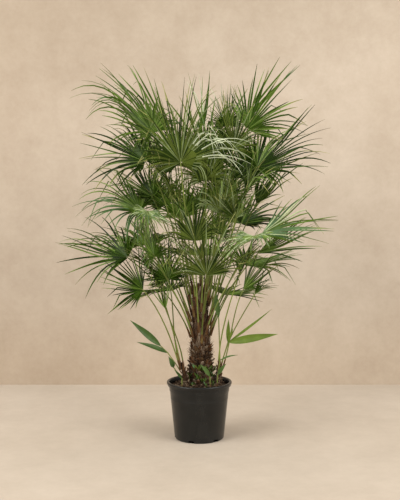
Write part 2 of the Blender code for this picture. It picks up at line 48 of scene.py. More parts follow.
# Pot
POT_SIDES = 96
POT_HEIGHT = 0.265
POT_FLOOR = 0.014
FOOT_RADIUS = 0.113
NECK_HEIGHT = 0.243
NECK_RADIUS = 0.138
RIM_RADIUS = 0.150
RIM_UNDERSIDE = 0.246
RIM_INNER_RADIUS = 0.138
INNER_FOOT_RADIUS = 0.1095
INNER_NECK_RADIUS = 0.135
# Outer side from the foot up: height, and how far it stands out from the plain slope
POT_WALL = (
    (0.004, 0.0), (0.184, 0.0), (0.186, 0.0005), (0.189, 0.0005), (0.191, 0.0),
    (0.218, 0.0), (0.222, 0.0018), (0.242, 0.0016),
)
NOTCHES = 6
NOTCH_WIDTH = 0.026
NOTCH_HEIGHT = 0.012
NOTCH_DEPTH = 0.009
FIRST_NOTCH = math.radians(-79)

# Soil
SOIL_TOP = 0.246
SOIL_EDGE = 0.236
SOIL_RINGS = 30
MOUND_RADIUS = 0.112
CHIPS = 1500
LITTER = 700
LITTER_TALL = 0.05
WEEDS = 22
WEED_TALL = 0.085
WEED_TONES = ("dark", "blue", "mid")

# Stems: foot (x, y), top (x, y, z), radii from the flared foot to the top
STEMS = {
    "trunk": (
        (0.008, 0.000), (-0.002, 0.004, 0.715),
        (0.058, 0.047, 0.044, 0.042, 0.040, 0.037, 0.033, 0.016),
    ),
    "sucker_left": ((-0.062, -0.045), (-0.080, -0.050, 0.360), (0.014, 0.012, 0.010, 0.006)),
    "sucker_right": ((0.088, -0.020), (0.093, -0.025, 0.360), (0.014, 0.012, 0.010, 0.006)),
}

# A stem's own body reaches this share of its radius, and stubs and fibres clothe it
CORE_SHARE = 0.74
# Old petiole feet: how many, from and to which height, how far they lean out and how tall they are
TRUNK_STUBS = (
    (130, 0.40, 0.66, (0.0, 0.14), (0.025, 0.060)),
    (280, SOIL_TOP + 0.002, 0.42, (0.3, 1.2), (0.016, 0.040)),
)
SUCKER_STUBS = ((26, SOIL_TOP + 0.002, 0.33, (0.1, 0.5), (0.010, 0.026)),)
# Loose fibres: how many, from and to which height, how long and how far they spread
TRUNK_STRANDS = (
    (1700, SOIL_TOP + 0.005, 0.44, 0.028, 1.3),
    (900, 0.42, 0.69, 0.06, 0.16),
)
SUCKER_STRANDS = ((160, SOIL_TOP + 0.005, 0.35, 0.022, 0.5),)
GOLDEN_ANGLE = 2.39996

# Petioles
PETIOLE_FOOT = 0.0058
SUCKER_PETIOLE_FOOT = 0.0045
PETIOLE_MIDDLE = 0.0031
PETIOLE_HUB = 0.0024
PETIOLE_STEEP = math.radians(72)
# The broad sheath at the foot, as a share of the curve, and how high it keeps the foot's colour
SHEATH = 0.16
SHEATH_TALL = 0.045

# Blades: pleated to the ribs, then cut into narrow folded leaflets
FUSED = 0.22
CUP = math.radians(10)
LEAFLET_STEP = math.radians(6.0)
LEAFLET_PARTS = 14
DROOP_START = 0.35
SIDE_SHORTER = 0.09
BLADE_THICK = 0.0006
# How far fans open to either side; beyond its span in the table a fan's leaflets are short
OPENING = (78, 140)
SHORT_SIDE = 0.66
CLOSED_FAN = math.radians(56)
SMALL_FAN = 0.15
USUAL_REACH = 0.30
# Fans that open to an angle of their own
OPEN_TO = {
    "lowest_right": 48, "lower_right": 36, "lowest_left": 80, "right": 52, "middle_right": 50,
    "lower_left": 66, "front_top": 128, "front_upper": 118, "front_low": 96,
    "inner_front_middle": 84, "inner_front_high": 74,
}
# The fans in the middle of the crown have finer leaflets
FINE_FANS = ("front_", "inner_")
FINE_STEP = 0.70
# How much looser, stiffer and broader than usual some leaflets are
LOOSE = {"inner": 1.8, "front": 1.2}
STIFF = {"front_low": 0.8}
BROAD = {"inner": 1.22, "back": 1.22}
# An arching leaflet narrows over this share of its length
NARROWING = 0.24
# Fans whose leaflets past an angle arch over and hang thin: the angle, how much more they droop, their
# width and the tones of their free part
ARCHING = {
    "front_top": (22, 3.8, 0.62, (5, 5, 3)),
    "crest": (-4, 2.6, 0.60, (5, 5, 3)),
    "crest_back": (0, 2.2, 0.60, (5, 3)),
    "front_upper": (-180, 2.4, 0.85, (1, 2, 2)),
    "front_right_low": (-180, 1.5, 1.40, (1, 1, 2)),
    "front_left_middle": (-180, 1.2, 1.35, (1, 1, 2)),
    "lower_left": (-180, 1.9, 1.0, (1, 1, 2, 3)),
    "middle_left": (8, 1.2, 0.9, (4, 4, 4, 3)),
}
NO_ARCH = (180, 1.0, 1.0, ())
# Rows of one leaflet from its hub: share of its length, half width and depth of its fold, whose mean
# depth lies in the blade
LEAFLET_ROWS = (
    (0.02, 1.00, 0.90),
    (0.09, 1.00, 0.90),
    (0.16, 1.00, 0.90),
    (FUSED, 1.00, 0.90),
    (0.31, 1.06, 1.15),
    (0.42, 1.12, 1.20),
    (0.54, 1.08, 1.10),
    (0.66, 0.92, 0.90),
    (0.77, 0.71, 0.64),
    (0.87, 0.46, 0.38),
    (0.95, 0.21, 0.16),
    (1.00, 0.03, 0.02),
)
MEAN_FOLD = 0.45
# A fan waves out of its plane by this much
WAVE = 0.26
# Where a leaflet's tone changes, as shares of its length; up to the first, at the hub, its tone is a darker
# painted shade
ROOT_SHADE = 0.05
FREE_START = 0.34
TIP_START = 0.82
# The shares of leaflets that are cut short or bent, and where the bend lies
SHORTENED = 0.15
BENT = 0.16
BEND_AT = 0.62

# Fronds: name, hub (x, y, z), heading, rise and roll of the blade in degrees, its reach, the span of its
# leaflets to either side of the middle in degrees, and how much they droop
FRONDS = (
    ("top_left", (-0.21, -0.03, 1.40), 180, 43, 32, 0.41, (-45, 76), 0.85),
    ("top_left_back", (-0.15, 0.12, 1.42), 165, 55, 70, 0.32, (-22, 20), 0.1),
    ("upper_left", (-0.24, -0.08, 1.27), 180, 14, 42, 0.31, (-110, 80), 0.5),
    ("middle_left", (-0.27, 0.00, 1.05), 180, 24, 30, 0.32, (-60, 110), 1.2),
    ("lower_left", (-0.32, -0.08, 0.84), 182, 8, 40, 0.32, (-105, 48), 0.45),
    ("lowest_left", (-0.25, -0.12, 0.70), 188, 15, 60, 0.21, (-70, 62), 0.05),
    ("inner_left", (-0.20, -0.12, 0.85), 185, 60, 30, 0.23, (-44, 36), 0.1),
    ("inner_lower_left", (-0.14, -0.05, 0.74), 165, 55, 50, 0.23, (-34, 34), 0.05),
    ("front_top", (-0.08, -0.22, 1.26), 262, 80, 0, 0.36, (-50, 85), 0.45),
    ("front_upper", (0.03, -0.18, 1.19), 275, 80, 0, 0.25, (-60, 60), 0.2),
    ("crest", (0.02, 0.12, 1.43), 90, 85, 0, 0.26, (-13, 21), 0.05),
    ("crest_back", (0.13, 0.20, 1.45), 90, 80, 0, 0.20, (-35, 35), 0.1),
    ("front_right_top", (0.15, -0.10, 1.33), 290, 80, 0, 0.25, (-32, 28), 0.2),
    ("top_right", (0.22, 0.05, 1.42), 20, 50, -60, 0.32, (-46, 32), 0.25),
    ("top_right_back", (0.20, 0.14, 1.44), 20, 57, -70, 0.395, (-13, 6), 0.05),
    ("upper_right", (0.26, -0.02, 1.245), 5, 27, -45, 0.36, (-56, 62), 0.5),
    ("middle_right", (0.26, 0.02, 1.08), 5, 50, -30, 0.29, (-44, 28), 0.3),
    ("inner_right", (0.16, -0.15, 1.02), 300, 65, -10, 0.18, (-78, 78), 0.1),
    ("inner_middle", (0.09, 0.08, 0.94), 60, 75, 0, 0.18, (-80, 80), 0.1),
    ("right", (0.28, -0.05, 0.945), -5, 12, -35, 0.35, (-32, 36), 0.3),
    ("lower_right", (0.265, -0.02, 0.855), -5, 16, -35, 0.29, (-35, 32), 0.25),
    ("lowest_right", (0.20, -0.02, 0.69), 0, 38, -40, 0.22, (-30, 46), 0.05),
    ("front_low", (0.03, -0.28, 0.78), 270, 54, 0, 0.28, (-62, 66), 0.25),
    ("front_right_low", (0.24, -0.13, 0.94), 232, -25, 0, 0.24, (-30, 35), 0.3),
    ("front_left_middle", (-0.23, -0.12, 1.05), 300, -40, 0, 0.17, (-50, 40), 0.3),
    ("folded_left", (-0.15, -0.10, 0.61), 160, 60, 60, 0.14, (-40, 14), 0.0),
    ("twisted_right", (0.25, -0.05, 0.67), 25, 40, 0, 0.12, (-50, 40), 0.6),
    ("inner_left_high", (-0.22, 0.15, 1.11), 150, 45, 30, 0.25, (-60, 60), 0.1),
    ("inner_left_middle", (-0.08, 0.12, 1.01), 110, 72, 20, 0.26, (-60, 60), 0.1),
    ("inner_right_high", (0.11, 0.15, 1.11), 60, 65, -20, 0.28, (-60, 60), 0.1),
    ("back_left_middle", (-0.17, 0.26, 1.07), 130, 50, 20, 0.25, (-60, 60), 0.1),
    ("back_right_high", (0.21, 0.20, 1.20), 40, 55, -20, 0.28, (-60, 60), 0.1),
    ("back_top", (0.03, 0.30, 1.30), 90, 55, 0, 0.34, (-80, 80), 0.4),
    ("back_top_left", (-0.18, 0.28, 1.26), 125, 45, 0, 0.33, (-80, 80), 0.4),
    ("back_middle", (0.02, 0.33, 1.05), 90, 25, 0, 0.33, (-86, 86), 0.5),
    ("back_right_middle", (0.20, 0.24, 0.98), 58, 20, -10, 0.31, (-86, 86), 0.45),
    ("back_left_low", (-0.24, 0.20, 0.88), 135, 10, 10, 0.30, (-80, 80), 0.4),
    ("back_low", (0.00, 0.30, 0.82), 90, 5, 0, 0.30, (-80, 80), 0.4),
    ("back_right_low", (0.23, 0.20, 0.78), 40, 5, -10, 0.28, (-86, 86), 0.4),
    ("back_lowest_left", (-0.13, 0.20, 0.66), 120, -5, 10, 0.24, (-80, 80), 0.2),
    ("back_lowest_right", (0.12, 0.20, 0.64), 60, 0, -10, 0.24, (-80, 80), 0.2),
    ("inner_top_left", (-0.10, 0.04, 1.27), 140, 70, 10, 0.28, (-46, 46), 0.2),
    ("inner_top_right", (0.06, 0.02, 1.25), 30, 72, -10, 0.28, (-46, 46), 0.2),
    ("inner_left_upper", (-0.12, -0.06, 1.12), 205, 52, 15, 0.26, (-46, 46), 0.3),
    ("inner_right_upper", (0.19, -0.08, 1.08), -15, 58, -15, 0.26, (-46, 46), 0.3),
    ("inner_front_middle", (-0.02, -0.16, 0.92), 272, 78, 0, 0.27, (-27, 27), 0.4),
    ("inner_front_high", (0.09, -0.14, 1.04), 285, 70, 0, 0.24, (-27, 27), 0.4),
    ("inner_left_low", (-0.20, -0.03, 0.74), 200, 48, 15, 0.22, (-46, 46), 0.3),
    ("inner_right_low", (0.18, -0.10, 0.77), -5, 58, -10, 0.23, (-46, 46), 0.3),
)
# The fronds that stand on a sucker; all others stand on the trunk
SUCKER_FRONDS = {
    "sucker_left": ("lowest_left", "inner_lower_left", "folded_left", "inner_left_low"),
    "sucker_right": ("lowest_right", "twisted_right", "inner_right_low"),
}

# Young plants: joint of the stalk, then each leaf's foot (None is the joint), tip, width, rise of its
# middle above the straight line, and turn of its face to the front in degrees
STALK_RADIUS = 0.0026
YOUNG = {
    "young_left": ((-0.143, -0.050, 0.404), (
        ((-0.174, -0.060, 0.437), (-0.311, -0.090, 0.560), 0.030, 0.004, 70),
        (None, (-0.280, -0.110, 0.464), 0.024, 0.006, 50),
    )),
    "young_foot_left": ((-0.079, -0.068, 0.290), (
        ((-0.116, -0.070, 0.341), (-0.139, -0.090, 0.396), 0.022, 0.008, 60),
        (None, (-0.112, -0.098, 0.336), 0.013, 0.003, 60),
    )),
    "young_right": ((0.130, -0.050, 0.452), (
        (None, (0.354, -0.090, 0.497), 0.036, 0.006, 75),
        (None, (0.330, -0.020, 0.600), 0.012, -0.012, 60),
        (None, (0.132, -0.060, 0.560), 0.018, 0.000, 85),
        (None, (0.152, -0.075, 0.521), 0.013, 0.000, 80),
    )),
    "young_foot_right": ((0.084, -0.064, 0.308), (
        ((0.094, -0.064, 0.372), (0.174, -0.090, 0.402), 0.010, 0.008, 40),
        (None, (0.121, -0.090, 0.363), 0.019, 0.004, 60),
    )),
    "young_foot_middle": ((0.048, -0.078, 0.303), (
        (None, (0.005, -0.104, 0.362), 0.019, 0.004, 60),
    )),
    "young_spear": ((0.090, -0.040, 0.500), (
        ((0.088, -0.040, 0.565), (0.071, -0.040, 0.690), 0.024, 0.002, 85),
    )),
}


# Hand tools


def deselect():
    bpy.ops.object.select_all(action="DESELECT")


def pick(piece):
    """Makes one piece the selected and active one."""
    deselect()
    piece.select_set(True)
    bpy.context.view_layer.objects.active = piece


def object_mode():
    bpy.ops.object.mode_set(mode="OBJECT")


def choose(piece, test):
    """Goes into edit mode with only the vertices that pass the test selected."""
    object_mode()
    mesh = piece.data
    for vertex in mesh.vertices:
        vertex.select = test(vertex.co)
    for edge in mesh.edges:
        edge.select = all(mesh.vertices[i].select for i in edge.vertices)
    for face in mesh.polygons:
        face.select = all(mesh.vertices[i].select for i in face.vertices)
    bpy.ops.object.mode_set(mode="EDIT")


def edit_all():
    """Goes into edit mode with everything selected."""
    bpy.ops.object.mode_set(mode="EDIT")
    bpy.ops.mesh.select_all(action="SELECT")


def keep_place(piece):
    """Moves a piece's place, turn and size into its mesh."""
    pick(piece)
    bpy.ops.object.transform_apply(location=True, rotation=True, scale=True)


def pull_out(step, size, about):
    """Pulls out what is selected by a step, then sizes its end about a point."""
    bpy.ops.mesh.extrude_region_move(TRANSFORM_OT_translate={"value": step})
    bpy.ops.transform.resize(value=size, center_override=about)


def join(name, pieces):
    """Joins pieces into the first one, which takes the name."""
    pick(pieces[0])
    for piece in pieces[1:]:
        piece.select_set(True)
    bpy.ops.object.join()
    made = bpy.context.object
    made.name = name
    return made


def apply_modifiers(piece):
    pick(piece)
    for modifier in list(piece.modifiers):
        bpy.ops.object.modifier_apply(modifier=modifier.name)


def thicken(piece, thickness):
    thick = piece.modifiers.new("thick", "SOLIDIFY")
    thick.thickness = thickness
    return thick


def smooth(piece, angle=40):
    pick(piece)
    bpy.ops.object.shade_smooth_by_angle(angle=math.radians(angle))


def put_on(piece, node):
    """The piece takes the place of a CAD node and stands on the plant's one body."""
    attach(piece, "root")
    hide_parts(node)


def mesh_piece(name, vertices, faces, slots, finishes):
    """A piece from its vertices and faces, with the number of each face's finish."""
    mesh = bpy.data.meshes.new(name)
    mesh.from_pydata(vertices, [], faces)
    for made in finishes:
        mesh.materials.append(made)
    mesh.polygons.foreach_set("material_index", slots)
    piece = bpy.data.objects.new(name, mesh)
    bpy.context.scene.collection.objects.link(piece)
    return piece


def scatter(name, pattern, places, finishes):
    """One mesh of many copies of a pattern, each with its own place and finish."""
    vertices, faces, slots = [], [], []
    corners = [vertex.co.copy() for vertex in pattern.data.vertices]
    sides = [tuple(face.vertices) for face in pattern.data.polygons]
    for matrix, finish_number in places:
        start = len(vertices)
        vertices += [matrix @ corner for corner in corners]
        turned_over = matrix.to_3x3().determinant() < 0
        for side in sides:
            side = side[::-1] if turned_over else side
            faces.append(tuple(start + i for i in side))
        slots += [finish_number] * len(sides)
    return mesh_piece(name, vertices, faces, slots, finishes)


def outward(turn):
    """Level unit vector at a turn about the upright."""
    return Vector((math.cos(turn), math.sin(turn), 0.0))


def frame_at(place, up, out, size):
    """Matrix that puts a pattern at a place, its Z along up and its -Y towards out."""
    up = up.normalized()
    side = up.cross(out).normalized()
    back = up.cross(side)
    turn = Matrix((side, back, up)).transposed().to_4x4()
    return Matrix.Translation(place) @ turn @ Matrix.Diagonal((*size, 1.0))


def ring_form(name, rings, sides):
    """A closed round form: a disc pulled on ring by ring, each ring a centre and a radius."""
    centre, radius = rings[0]
    deselect()
    bpy.ops.mesh.primitive_circle_add(vertices=sides, radius=radius, fill_type="NGON", location=centre)
    piece = bpy.context.object
    piece.name = name
    edit_all()
    for next_centre, next_radius in rings[1:]:
        share = next_radius / radius
        pull_out(Vector(next_centre) - Vector(centre), (share, share, 1.0), next_centre)
        centre, radius = next_centre, next_radius
    edit_all()
    bpy.ops.mesh.normals_make_consistent(inside=False)
    object_mode()
    keep_place(piece)
    return piece


# Finishes


def add_node(made, kind, inputs=()):
    """A new shader node of a kind in a finish, with values for some of its inputs."""
    node = made.node_tree.nodes.new("ShaderNode" + kind)
    for entry, value in dict(inputs).items():
        node.inputs[entry].default_value = value
    return node


def link(made, source, output, target, entry):
    made.node_tree.links.new(source.outputs[output], target.inputs[entry])


def finish(name, colours, roughness, scale=30.0, bump=0.2, grain=200.0, stretch=1.0, specular=0.5):
    """A shader whose colour drifts between the given ones, with a fine grain.

    A stretch under 1 draws the pattern out along Z.
    """
    made = bpy.data.materials.new(name)
    made.use_nodes = True
    shader = made.node_tree.nodes["Principled BSDF"]
    shader.inputs["Roughness"].default_value = roughness
    shader.inputs["Specular IOR Level"].default_value = specular
    mapping = add_node(made, "Mapping", {"Scale": (1.0, 1.0, stretch)})
    link(made, add_node(made, "TexCoord"), "Object", mapping, "Vector")
    drift = add_node(made, "TexNoise", {"Scale": scale, "Detail": 3.0})
    fine = add_node(made, "TexNoise", {"Scale": grain, "Detail": 4.0})
    for pattern in (drift, fine):
        link(made, mapping, "Vector", pattern, "Vector")
    ramp = add_node(made, "ValToRGB")
    stops = ramp.color_ramp.elements
    first, last = 0.35, 0.65
    stops[0].position, stops[1].position = first, last
    stops[0].color, stops[1].color = (*colours[0], 1.0), (*colours[-1], 1.0)
    for i, colour in enumerate(colours[1:-1]):
        stop = stops.new(first + (last - first) * (i + 1) / (len(colours) - 1))
        stop.color = (*colour, 1.0)
    link(made, drift, "Fac", ramp, "Fac")
    link(made, ramp, "Color", shader, "Base Color")
    relief = add_node(made, "Bump", {"Strength": bump, "Distance": 0.002})
    link(made, fine, "Fac", relief, "Height")
    link(made, relief, "Normal", shader, "Normal")
    return made


def leaf_finish(name, colour, roughness=0.36, specular=0.14):
    """A leaf green that drifts a little lighter and darker."""
    drift = [[channel * share for channel in colour] for share in (0.75, 1.0, 1.3)]
    return finish(name, drift, roughness, scale=14.0, bump=0.1, grain=300.0, specular=specular)


# Leaf greens. The deep one is also painted shade at the hubs and in the darker fans; the pale one is a
# painted highlight, and the silver one is partly the whitish green of hanging leaflets and partly painted
# highlight
UPPER_GREENS = {
    "deep": (0.013, 0.032, 0.0015),
    "dark": (0.039, 0.080, 0.006),
    "mid": (0.087, 0.149, 0.019),
    "fresh": (0.150, 0.225, 0.048),
    "pale": (0.430, 0.510, 0.280),
    "silver": (0.440, 0.490, 0.340),
    "blue": (0.080, 0.155, 0.056),
    "tip": (0.210, 0.215, 0.070),
}
UNDER_GREENS = {
    "olive": (0.070, 0.096, 0.015),
    "grey": (0.150, 0.190, 0.080),
    "shade": (0.018, 0.034, 0.003),
}
LEAF = {name: leaf_finish("leaf_" + name, green) for name, green in UPPER_GREENS.items()}
for name, green in UNDER_GREENS.items():
    LEAF[name] = leaf_finish("leaf_under_" + name, green, 0.55, 0.08)
STALK = leaf_finish("petiole_green", (0.126, 0.156, 0.034), 0.45)
STALK_DARK = leaf_finish("petiole_dark", (0.078, 0.096, 0.018), 0.45)
STALK_FOOT = finish(
    "petiole_foot", ((0.040, 0.016, 0.006), (0.088, 0.042, 0.014), (0.135, 0.100, 0.028)), 0.7,
    scale=45.0, stretch=0.3, specular=0.2,
)


# Numbers of a colour mix's sockets: the colour below, the one laid over it, and the result
MIX_UNDER, MIX_OVER, MIX_RESULT = 6, 7, 2


def lay_over(made, colour, share, blend="MIX"):
    """Lays a colour over a finish's own, as strong as the share from another node says."""
    links = made.node_tree.links
    base = made.node_tree.nodes["Principled BSDF"].inputs["Base Color"]
    plain = base.links[0].from_socket
    mix = add_node(made, "Mix", {MIX_OVER: (*colour, 1.0)})
    mix.data_type = "RGBA"
    mix.blend_type = blend
    links.new(share, mix.inputs[0])
    links.new(plain, mix.inputs[MIX_UNDER])
    links.new(mix.outputs[MIX_RESULT], base)


def veined_finish(name, colour):
    """A leaf green with fine veins that run along the leaf, by its own UV map."""
    made = leaf_finish(name, colour, 0.4)
    place = add_node(made, "UVMap")
    place.uv_map = "UVMap"
    veins = add_node(made, "TexWave", {"Scale": 2.6, "Distortion": 0.4})
    veins.bands_direction = "X"
    link(made, place, "UV", veins, "Vector")
    lay_over(made, [channel * 0.55 for channel in colour], veins.outputs["Fac"])
    return made


def fibre_finish(name, colours, roughness=0.9, bump=0.4):
    return finish(name, colours, roughness, 60.0, bump, grain=260.0, stretch=0.15, specular=0.2)


def bark_finish(name, colours, specular=0.2):
    return finish(name, colours, 0.9, scale=90.0, bump=0.5, specular=specular)


YOUNG_LEAF = veined_finish("young_leaf", (0.128, 0.190, 0.028))
YOUNG_DARK = veined_finish("young_leaf_dark", (0.056, 0.104, 0.026))
YOUNG_LOW = veined_finish("young_leaf_low", (0.080, 0.140, 0.036))
FIBRES = (
    fibre_finish(
        "fibre_dark", ((0.013, 0.007, 0.004), (0.042, 0.022, 0.011), (0.090, 0.052, 0.023)), 0.95, 0.6,
    ),
    fibre_finish("fibre_tan", ((0.080, 0.055, 0.035), (0.225, 0.175, 0.125))),
    fibre_finish("fibre_red", ((0.064, 0.026, 0.010), (0.135, 0.062, 0.024))),
)
PEAT = finish(
    "peat", ((0.005, 0.003, 0.002), (0.020, 0.012, 0.007)), 1.0,
    scale=80.0, bump=0.8, grain=300.0, specular=0.1,
)
BARK = (
    bark_finish("bark_dark", ((0.009, 0.005, 0.003), (0.030, 0.016, 0.009)), 0.1),
    bark_finish("bark_brown", ((0.036, 0.020, 0.011), (0.074, 0.043, 0.025))),
    bark_finish("bark_tan", ((0.100, 0.066, 0.040), (0.230, 0.170, 0.112))),
)
# Near-black and without sheen: painted shade on the inner faces of the notches in the pot's foot
NOTCH_SHADE = finish("notch_painted_shade", ((0.001, 0.001, 0.001), (0.003, 0.003, 0.002)), 1.0, specular=0.0)
PLASTIC = finish(
    "black_plastic", ((0.0056, 0.0060, 0.0056), (0.0108, 0.0113, 0.0106)), 0.27,
    scale=26.0, bump=0.10, grain=420.0, stretch=0.4, specular=0.32,
)


# Leaf rule


def blade_frame(heading, rise, roll):
    """Unit vectors along the middle leaflet, across the blade and out of its upper face."""
    h, e, r = math.radians(heading), math.radians(rise), math.radians(roll)
    along = Vector((math.cos(h) * math.cos(e), math.sin(h) * math.cos(e), math.sin(e)))
    level = Vector((-math.cos(h) * math.sin(e), -math.sin(h) * math.sin(e), math.cos(e)))
    across = level.cross(along)
    side = across * math.cos(r) - level * math.sin(r)
    face = level * math.cos(r) + across * math.sin(r)
    return along, side, face


def leaflet_line(number, frond, angle, sway=None):
    """Points along a leaflet from the hub to its tip.

    The sway gives its share of the length and droop, its swing out of the blade and along it
    from the rib's end on, and how much it bends down further out.
    """
    hub, heading, rise, roll, reach, droop = frond
    short, slack, lift, slide, kink = sway or (1.0, 1.0, 0.0, 0.0, 0.0)
    along, side, face = blade_frame(heading, rise, roll)
    flat = along * math.cos(angle) + side * math.sin(angle)
    across = side * math.cos(angle) - along * math.sin(angle)
    start = flat * math.cos(CUP) + face * math.sin(CUP)
    length = reach * (1 - SIDE_SHORTER * angle**2 + 0.06 * math.sin(6.1 * angle + 1.7 * number))
    sag = slack * droop * (0.6 + 0.57 * abs(angle)) * (1 + 0.7 * math.sin(4.3 * angle + 2.3 * number))
    line = [hub.copy()]
    for i in range(LEAFLET_PARTS):
        share = (i + 0.5) / LEAFLET_PARTS
        free = min(1.0, max(0.0, (share - FUSED) / (1 - FUSED)) * 2.5)
        bend = sag * max(0.0, (share - DROOP_START) / (1 - DROOP_START)) ** 1.3
        if share > BEND_AT:
            bend += kink
        way = start + face * lift * free + across * slide * free - UP * bend
        part = length / LEAFLET_PARTS * (short if share > FUSED else 1.0)
        line.append(line[-1] + way.normalized() * part)
    return line


def along_line(line, share):
    place = share * (len(line) - 1)
    i = min(int(place), len(line) - 2)
    return line[i].lerp(line[i + 1], place - i)


def leaflet_pattern():
    """One leaflet laid flat, its hub end at y = 0, pulled out row by row and folded along its middle."""
    rows = LEAFLET_ROWS
    deselect()
    bpy.ops.mesh.primitive_grid_add(x_subdivisions=2, y_subdivisions=1, size=2.0)
    pattern = bpy.context.object
    pattern.name = "leaflet_pattern"
    edit_all()
    tall = rows[1][0] - rows[0][0]
    bpy.ops.transform.resize(value=(1.0, tall / 2, 1.0), center_override=(0.0, 0.0, 0.0))
    bpy.ops.transform.translate(value=(0.0, rows[0][0] + tall / 2, 0.0))
    choose(pattern, lambda co: co.y > rows[1][0] - 0.001)
    for (y, wide, _), (next_y, next_wide, _) in zip(rows[1:], rows[2:]):
        pull_out((0.0, next_y - y, 0.0), (next_wide / wide, 1.0, 1.0), (0.0, next_y, 0.0))
    for y, _, fold in rows:
        choose(pattern, lambda co: abs(co.x) < 0.001 and abs(co.y - y) < 0.001)
        bpy.ops.transform.translate(value=(0.0, 0.0, -fold))
    object_mode()
    return pattern


def fan_angles(name, span, reach, rng):
    """Angles of a fan's leaflets, with the share that the ones outside its span are long."""
    low, high = math.radians(span[0]), math.radians(span[1])
    usual = LEAFLET_STEP * min(1.0, USUAL_REACH / reach)
    if name.startswith(FINE_FANS):
        usual *= FINE_STEP
    count = max(3, round((high - low) / usual))
    step = (high - low) / count
    angles = [(low + (k + 0.5) * step, 1.0) for k in range(count)]
    stays_closed = high - low < CLOSED_FAN or reach < SMALL_FAN
    if stays_closed and name not in OPEN_TO:
        return angles, step
    for side, edge in ((-1, -low), (1, high)):
        opening = math.radians(OPEN_TO.get(name, rng.uniform(*OPENING)))
        more = max(0, round((opening - edge) / step))
        for k in range(more):
            angles.append((side * (edge + (k + 0.5) * step), SHORT_SIDE * (1 - 0.3 * (k + 0.5) / more)))
    return angles, step


def leaflet_habit(name, angle, long, wave_start, rng):
    """How one leaflet sways and twists, how wide its free part is, its tones from the hub to the tip
    and the share of its length where the free part takes its own tone."""
    kind = name.split("_")[0]
    loose = LOOSE.get(kind, 1.0) * STIFF.get(name, 1.0)
    wave = WAVE * STIFF.get(name, 1.0) * math.sin(3.1 * angle + wave_start)
    short = rng.uniform(0.94, 1.06) if rng.random() > SHORTENED else rng.uniform(0.6, 0.9)
    slack = rng.uniform(0.4, 1.6) * loose
    lift = rng.gauss(0.0, 0.17 * loose) + wave
    slide = rng.gauss(0.0, 0.10 * loose)
    kink = rng.uniform(0.5, 1.8) if rng.random() < BENT else 0.0
    twist = rng.uniform(-1.2, 1.2)
    tone = rng.choice((1, 1, 1, 2, 2, 3))
    tip_tone = rng.choice((tone, tone, 4))
    wide, root_tone, first_tone, free_start = BROAD.get(kind, 1.0), tone, tone, FREE_START
    past, more_droop, thin, tones = ARCHING.get(name, NO_ARCH)
    if math.degrees(angle) > past:
        slack *= more_droop
        tone = tip_tone = rng.choice(tones if long > SHORT_SIDE else (1, 1, 2, 3))
        wide, root_tone, first_tone = thin, rng.choice((1, 1, 2)), rng.choice((1, 2, 3))
        free_start = rng.uniform(0.24, 0.56)
    sway = (long * short, slack, lift, slide, kink)
    return sway, twist, wide, (0, root_tone, first_tone, tone, tip_tone), free_start


def blade(name, number, frond, span, finishes, rng):
    """A fan of leaflets, grown together about the hub and free beyond the ribs' end."""
    _, heading, rise, roll, reach, _ = frond
    along, side, face = blade_frame(heading, rise, roll)
    angles, step = fan_angles(name, span, reach, rng)
    root = reach * FUSED * math.tan(step / 2)
    corners = [vertex.co.copy() for vertex in PATTERN.data.vertices]
    sides = [tuple(facet.vertices) for facet in PATTERN.data.polygons]
    places = [facet.center.y for facet in PATTERN.data.polygons]
    vertices, faces, slots = [], [], []
    wave_start = rng.uniform(0.0, math.tau)
    broad = BROAD.get(name.split("_")[0], 1.0)
    for angle, long in angles:
        sway, twist, wide, tones, free_start = leaflet_habit(name, angle, long, wave_start, rng)
        line = leaflet_line(number, frond, angle, sway)
        edges = [leaflet_line(number, frond, angle + step / 2 * x) for x in (-1, 0, 1)]
        across = side * math.cos(angle) - along * math.sin(angle)
        start = len(vertices)
        for x, y, z in corners:
            if y < FUSED + 0.001:
                ray = along_line(edges[round(x) + 1], y)
                vertices.append(ray + face * (z + MEAN_FOLD) * root * y / FUSED)
                continue
            point = along_line(line, y)
            way = (along_line(line, min(1.0, y + 0.06)) - along_line(line, y - 0.06)).normalized()
            turn = Matrix.Rotation(twist * (y - FUSED) / (1 - FUSED), 3, way)
            level = (across - way * across.dot(way)).normalized()
            over = way.cross(level).normalized()
            if over.dot(face) < 0:
                over = -over
            half = root * (broad + (wide - broad) * min(1.0, (y - FUSED) / NARROWING))
            vertices.append(point + turn @ (level * x + over * (z + MEAN_FOLD)) * half)
        for corner_ids in sides:
            faces.append(tuple(start + i for i in corner_ids))
        # The first tone, at the hub up to ROOT_SHADE, is painted shade
        changes = (ROOT_SHADE, FUSED, free_start, TIP_START)
        slots += [tones[sum(y > change for change in changes)] for y in places]
    piece = mesh_piece(name + "_leaflets", vertices, faces, slots, finishes)
    pick(piece)
    edit_all()
    bpy.ops.mesh.remove_doubles(threshold=0.00005)
    object_mode()
    normal = sum((facet.normal * facet.area for facet in piece.data.polygons), Vector())
    if normal.dot(face) < 0:
        piece.data.flip_normals()
    thick = thicken(piece, BLADE_THICK)
    thick.material_offset = thick.material_offset_rim = len(finishes) // 2
    apply_modifiers(piece)
    return piece


